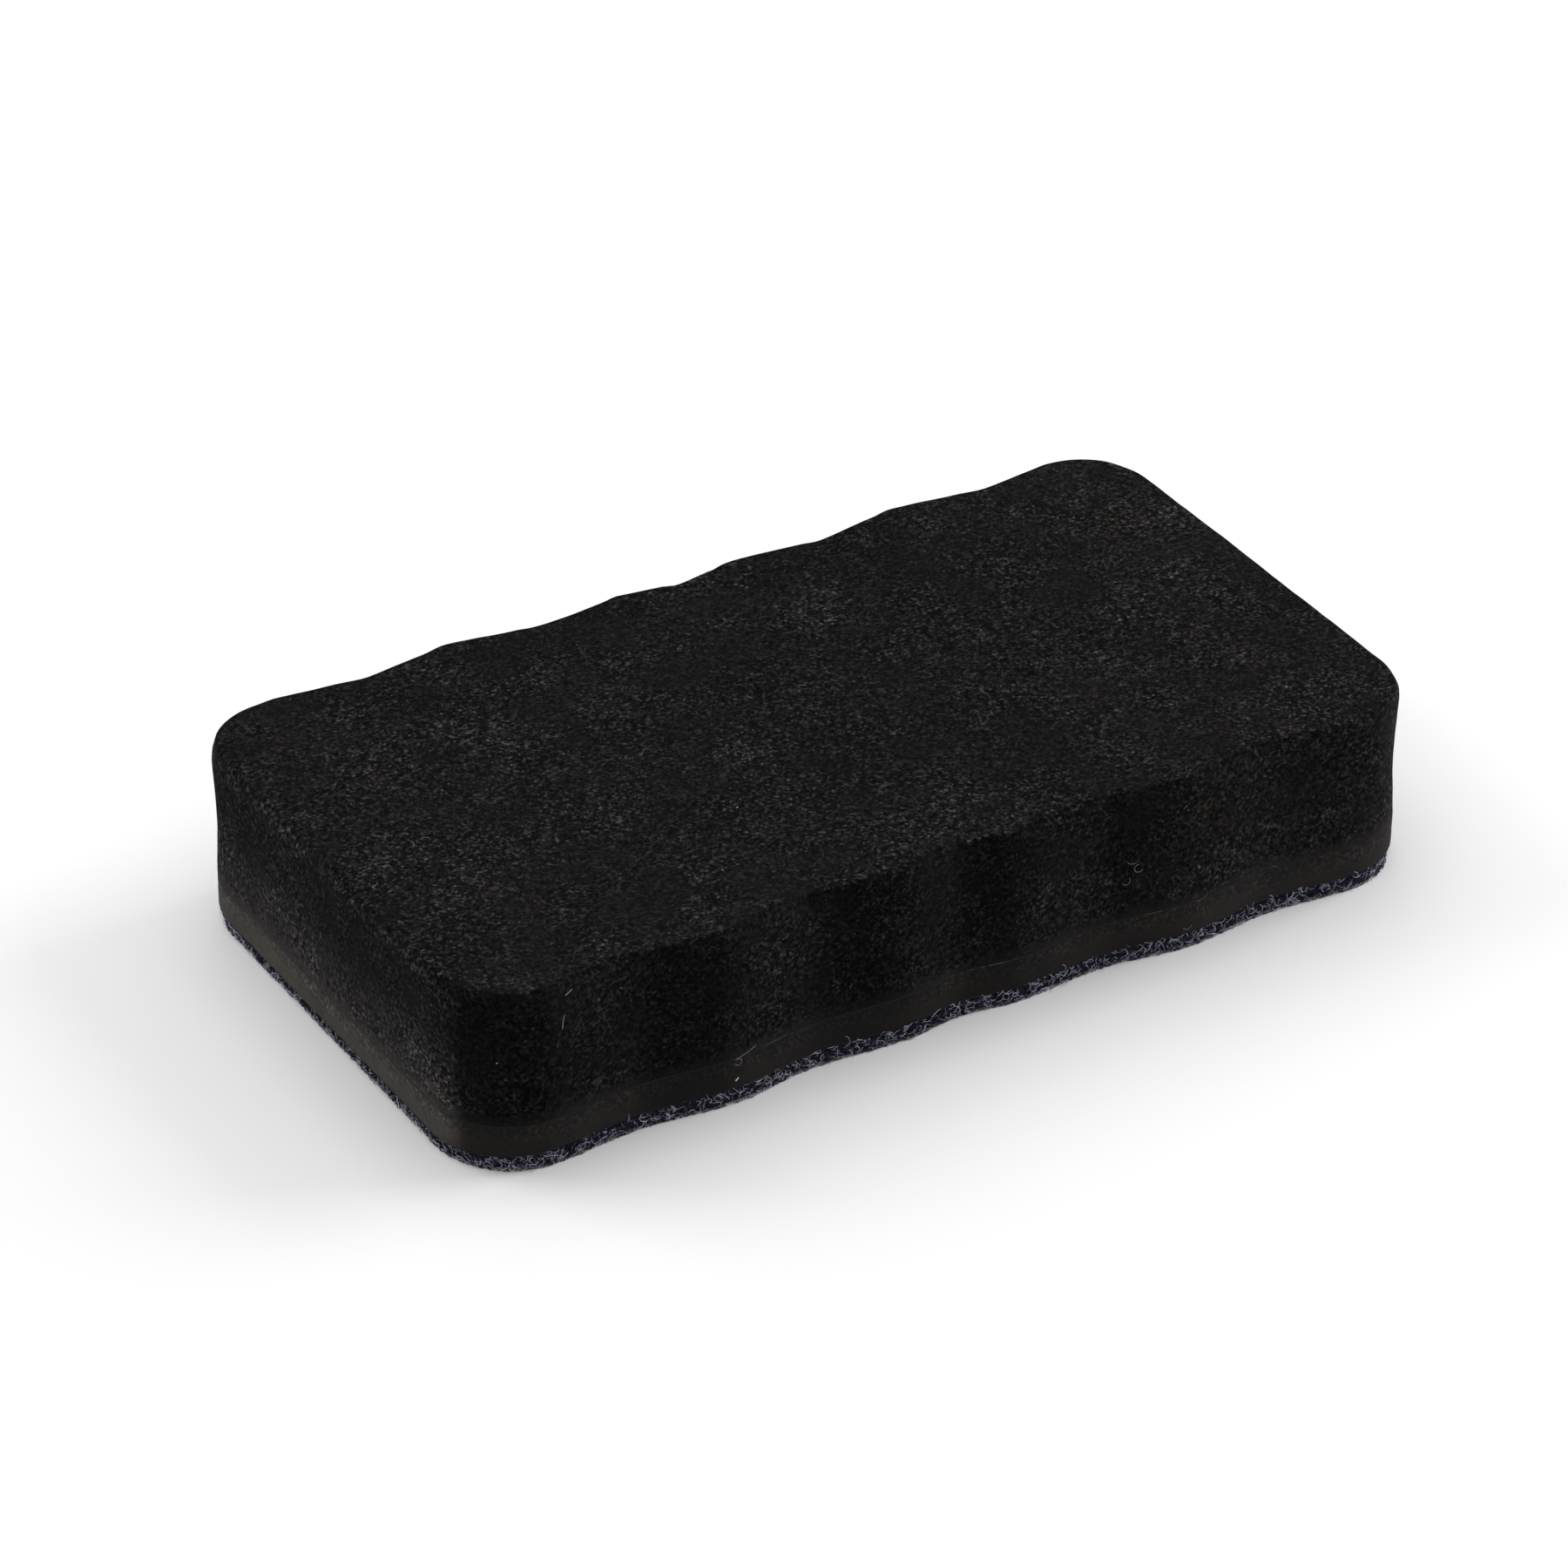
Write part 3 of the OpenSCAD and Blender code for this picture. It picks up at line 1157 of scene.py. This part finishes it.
def add_camera(scene, stage):
    azimuth, elevation = stage.azimuth, stage.elevation
    level = cos(elevation)
    back = Vector((sin(azimuth) * level, -cos(azimuth) * level, sin(elevation)))
    right = Vector((cos(azimuth), sin(azimuth), 0))
    axes = Matrix((right, back.cross(right), back)).transposed().to_4x4()
    axes @= Matrix.Rotation(stage.roll, 4, "Z")
    data = bpy.data.cameras.new("camera")
    data.lens = stage.lens
    data.clip_start = 0.01
    camera = bpy.data.objects.new("camera", data)
    camera.matrix_world = axes @ Matrix.Translation((stage.pan_right, stage.pan_up, stage.distance))
    scene.collection.objects.link(camera)
    scene.camera = camera


class ERASER_OT_stage(Operator):
    """Set the floor, the soft lamps and the camera"""

    bl_idname = "eraser.stage"
    bl_label = "Studio Stage"
    bl_options = {"UNDO"}

    def execute(self, context):
        stage = context.scene.eraser.stage
        add_floor()
        add_lamp("top_lamp", (0.0, 0.25, 1.0), 0.80, stage.top)
        add_lamp("right_lamp", (0.565, -0.100, 0.402), 0.40, stage.right)
        add_lamp("left_lamp", (-0.527, 0.627, 0.574), 0.50, stage.left)
        add_sky(context.scene, stage.sky)
        add_camera(context.scene, stage)
        context.scene.view_settings.view_transform = "Standard"
        return {"FINISHED"}


class ERASER_PT_sidebar(Panel):
    """Lists the eraser's pieces"""

    bl_label = "Chalkboard Eraser"
    bl_idname = "ERASER_PT_sidebar"
    bl_space_type = "VIEW_3D"
    bl_region_type = "UI"
    bl_category = "Eraser"

    def draw(self, context):
        for operator in PIECE_OPERATORS:
            self.layout.operator(operator.bl_idname)


PIECE_OPERATORS = (
    ERASER_OT_stage,
    ERASER_OT_foam_grip,
    ERASER_OT_backing_layer,
    ERASER_OT_glue_films,
    ERASER_OT_felt_pad,
    ERASER_OT_lint,
)
CLASSES = (
    EraserOutline,
    EraserFoam,
    EraserFelt,
    EraserStage,
    EraserSettings,
    *PIECE_OPERATORS,
    ERASER_PT_sidebar,
)


def register():
    for cls in CLASSES:
        bpy.utils.register_class(cls)
    bpy.types.Scene.eraser = PointerProperty(type=EraserSettings)


def unregister():
    del bpy.types.Scene.eraser
    for cls in reversed(CLASSES):
        bpy.utils.unregister_class(cls)


def main():
    register()
    bpy.ops.eraser.stage()
    bpy.ops.eraser.foam_grip()
    bpy.ops.eraser.backing_layer()
    bpy.ops.eraser.glue_films()
    bpy.ops.eraser.felt_pad()
    bpy.ops.eraser.lint()


if __name__ == "__main__":
    main()
